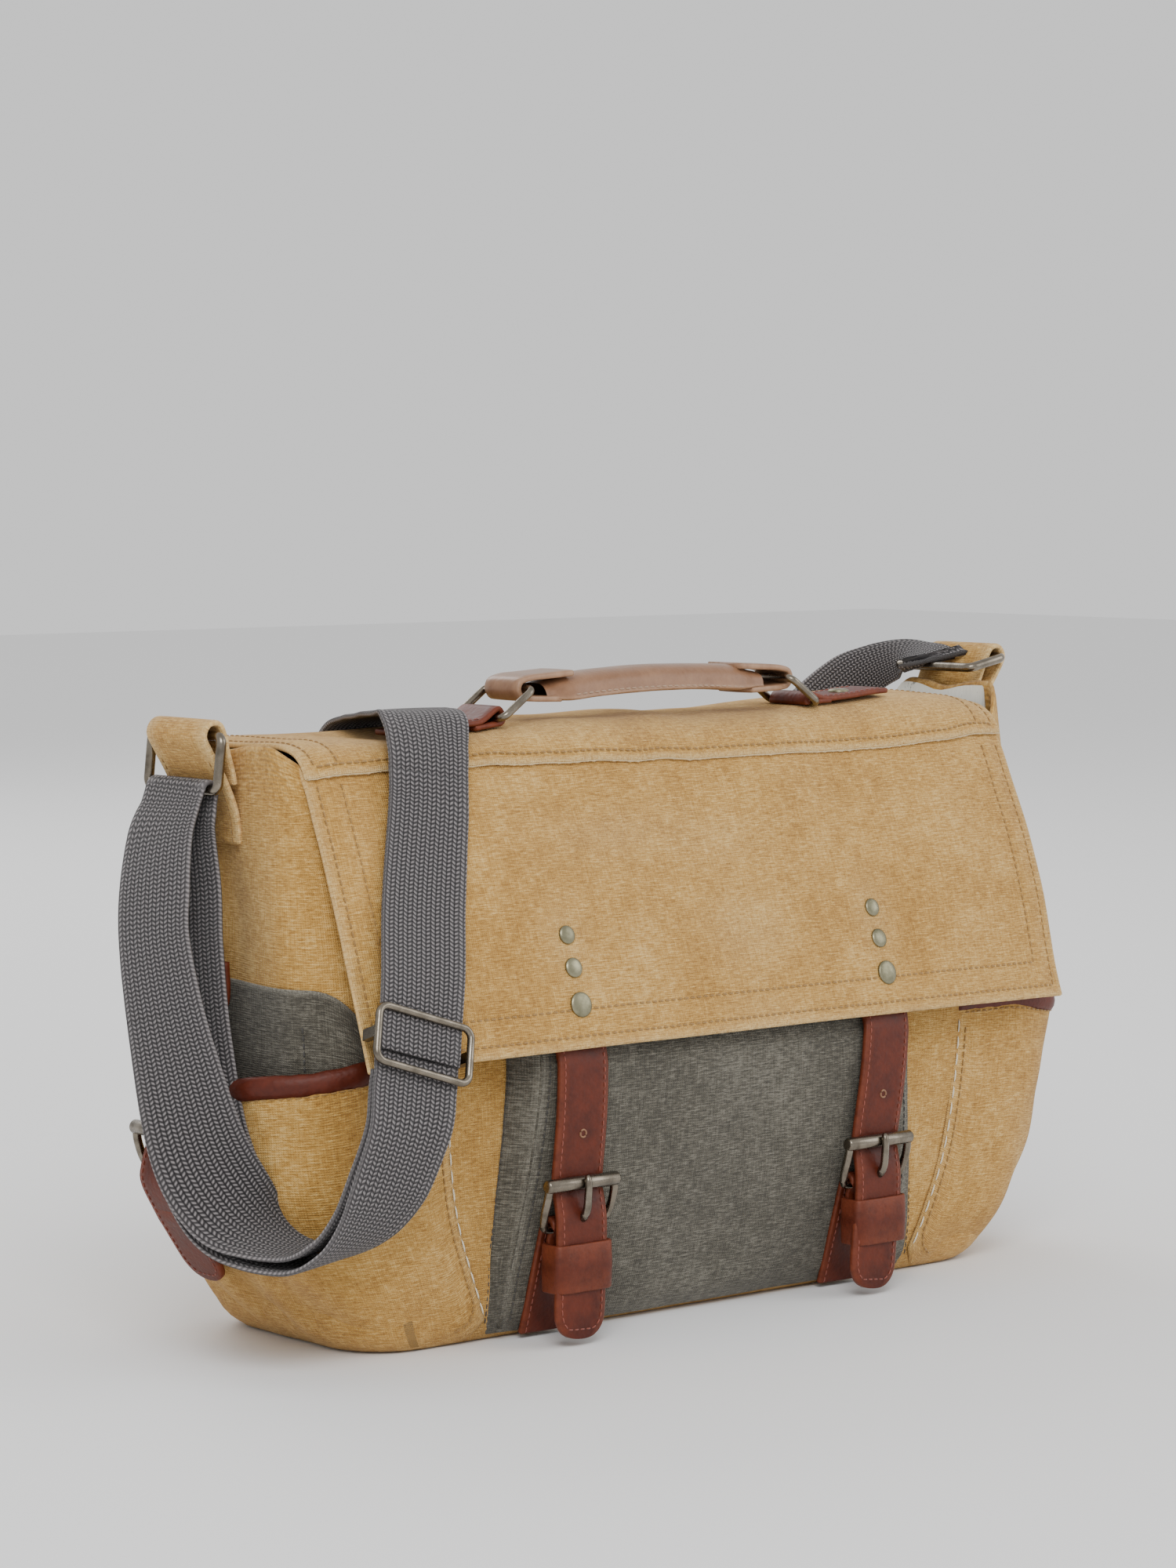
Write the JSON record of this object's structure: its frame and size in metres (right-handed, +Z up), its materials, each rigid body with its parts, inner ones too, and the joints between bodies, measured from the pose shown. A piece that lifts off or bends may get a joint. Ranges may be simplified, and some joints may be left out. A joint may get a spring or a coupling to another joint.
{
  "type": "satchel bag",
  "caption": "Canvas messenger satchel with a folding flap, buckled leather straps, front and side pockets, carrying handle and webbing shoulder strap.",
  "frame": {"origin": "centre of the base, on the surface that the bag stands on", "axes": "+X to the bag's right as seen from the front, -Y out of the front, +Z up"},
  "size_m": [0.475, 0.1593, 0.2628],
  "materials": {
    "tan_canvas": "washed cotton canvas",
    "grey_canvas": "washed cotton canvas",
    "lining_cloth": "printed cotton",
    "webbing": "herringbone cotton webbing",
    "brown_leather": "pulled-up grain",
    "taupe_leather": "smooth, glossy",
    "gunmetal": "polished dark plate",
    "nickel": "antique plate",
    "board": "matt"
  },
  "bodies": {
    "bag": {"front_panel": "tan_canvas", "back_panel": "tan_canvas", "gusset_left": "tan_canvas", "gusset_right": "tan_canvas", "base_panel": "tan_canvas", "base_board": "board", "lining": "lining_cloth", "front_pocket_face": "grey_canvas", "front_pocket_gusset": "grey_canvas", "side_pocket_left": "tan_canvas", "side_pocket_right": "tan_canvas", "side_binding_left": "brown_leather", "side_binding_right": "brown_leather", "side_facings": "grey_canvas", "side_strap_left": "brown_leather", "side_strap_right": "brown_leather", "side_chape_left": "brown_leather", "side_chape_right": "brown_leather", "side_buckle_left": "gunmetal", "side_buckle_right": "gunmetal", "base_strap_left": "brown_leather", "base_strap_right": "brown_leather", "snap_sockets": "nickel", "strap_tabs": "tan_canvas", "web_loop_left": "webbing", "web_back": "webbing"},
    "flap_top": {"flap_top": "tan_canvas", "handle_chapes": "brown_leather", "handle_rivets": "nickel", "web_top": "webbing"},
    "flap_front": {"flap_front": "tan_canvas", "flap_rivets": "nickel", "closing_strap_left": "brown_leather", "closing_strap_right": "brown_leather", "buckle_frame_left": "gunmetal", "buckle_frame_right": "gunmetal", "buckle_chape_left": "brown_leather", "buckle_chape_right": "brown_leather", "buckle_keeper_left": "brown_leather", "buckle_keeper_right": "brown_leather", "snap_studs": "nickel", "web_front": "webbing", "web_loop_right": "webbing"},
    "buckle_prong_left": {"buckle_prong_left": "gunmetal"},
    "buckle_prong_right": {"buckle_prong_right": "gunmetal"},
    "buckle_roller_left": {"buckle_roller_left": "gunmetal"},
    "buckle_roller_right": {"buckle_roller_right": "gunmetal"},
    "side_prong_left": {"side_prong_left": "gunmetal"},
    "side_prong_right": {"side_prong_right": "gunmetal"},
    "side_roller_left": {"side_roller_left": "gunmetal"},
    "side_roller_right": {"side_roller_right": "gunmetal"},
    "handle_ring_left": {"handle_ring_left": "gunmetal"},
    "handle_grip": {"handle_grip": "taupe_leather"},
    "handle_ring_right": {"handle_ring_right": "gunmetal"},
    "strap_ring_left": {"strap_ring_left": "gunmetal", "web_turn_left": "webbing"},
    "strap_ring_right": {"strap_ring_right": "gunmetal", "web_turn_right": "webbing"},
    "strap_slider": {"strap_slider": "gunmetal"}
  },
  "joints": [
    {"name": "flap_lift", "type": "hinge", "parent": "bag", "child": "flap_top", "pos_m": [0, 0.038, 0.2325], "axis": [-1, 0, 0], "range_deg": [0, 95]},
    {"name": "flap_fold", "type": "hinge", "parent": "flap_top", "child": "flap_front", "pos_m": [0, -0.0434, 0.2239], "axis": [-1, 0, 0], "range_deg": [0, 40]},
    {"name": "handle_swing", "type": "hinge", "parent": "flap_top", "child": "handle_ring_left", "pos_m": [-0.086, -0.019, 0.2433], "axis": [0, 1, 0], "range_deg": [-8, 8]},
    {"name": "handle_grip_turn", "type": "hinge", "parent": "handle_ring_left", "child": "handle_grip", "pos_m": [-0.07049, -0.019, 0.25428], "axis": [0, 1, 0], "range_deg": [-10, 10]},
    {"name": "handle_ring_right_turn", "type": "hinge", "parent": "flap_top", "child": "handle_ring_right", "pos_m": [0.086, -0.019, 0.2433], "axis": [0, 1, 0], "range_deg": [-8, 8]},
    {"name": "strap_ring_left_swing", "type": "hinge", "parent": "bag", "child": "strap_ring_left", "pos_m": [-0.208, 0.01, 0.24], "axis": [0, 1, 0], "range_deg": [0, 20]},
    {"name": "strap_ring_right_swing", "type": "hinge", "parent": "bag", "child": "strap_ring_right", "pos_m": [0.219, 0.01, 0.258], "axis": [0, 1, 0], "range_deg": [0, 25]},
    {"name": "slider_slide", "type": "slide", "parent": "flap_front", "child": "strap_slider", "axis": [-0.3279, -0.3097, -0.8925], "range_m": [-0.01, 0.01]},
    {"name": "buckle_prong_left_swing", "type": "hinge", "parent": "flap_front", "child": "buckle_prong_left", "pos_m": [-0.083, -0.0775, 0.046], "axis": [1, 0, 0], "range_deg": [0, 40]},
    {"name": "buckle_roller_left_spin", "type": "hinge", "parent": "flap_front", "child": "buckle_roller_left", "pos_m": [-0.083, -0.0834, 0.064], "axis": [1, 0, 0], "continuous": true},
    {"name": "side_prong_left_swing", "type": "hinge", "parent": "bag", "child": "side_prong_left", "pos_m": [-0.217, 0.008, 0.069], "axis": [0, -1, 0], "range_deg": [0, 50]},
    {"name": "side_roller_left_spin", "type": "hinge", "parent": "bag", "child": "side_roller_left", "pos_m": [-0.2229, 0.008, 0.087], "axis": [0, 1, 0], "continuous": true},
    {"name": "buckle_prong_right_swing", "type": "hinge", "parent": "flap_front", "child": "buckle_prong_right", "pos_m": [0.083, -0.0775, 0.046], "axis": [1, 0, 0], "range_deg": [0, 40]},
    {"name": "buckle_roller_right_spin", "type": "hinge", "parent": "flap_front", "child": "buckle_roller_right", "pos_m": [0.083, -0.0834, 0.064], "axis": [1, 0, 0], "continuous": true},
    {"name": "side_prong_right_swing", "type": "hinge", "parent": "bag", "child": "side_prong_right", "pos_m": [0.217, 0.008, 0.069], "axis": [0, 1, 0], "range_deg": [0, 50]},
    {"name": "side_roller_right_spin", "type": "hinge", "parent": "bag", "child": "side_roller_right", "pos_m": [0.2229, 0.008, 0.087], "axis": [0, 1, 0], "continuous": true}
  ],
  "couplings": [
    {"joint": "flap_fold", "follows": "flap_lift", "ratio": 0.38},
    {"joint": "handle_grip_turn", "follows": "handle_swing", "ratio": -1.219},
    {"joint": "handle_ring_right_turn", "follows": "handle_swing", "ratio": 1}
  ]
}
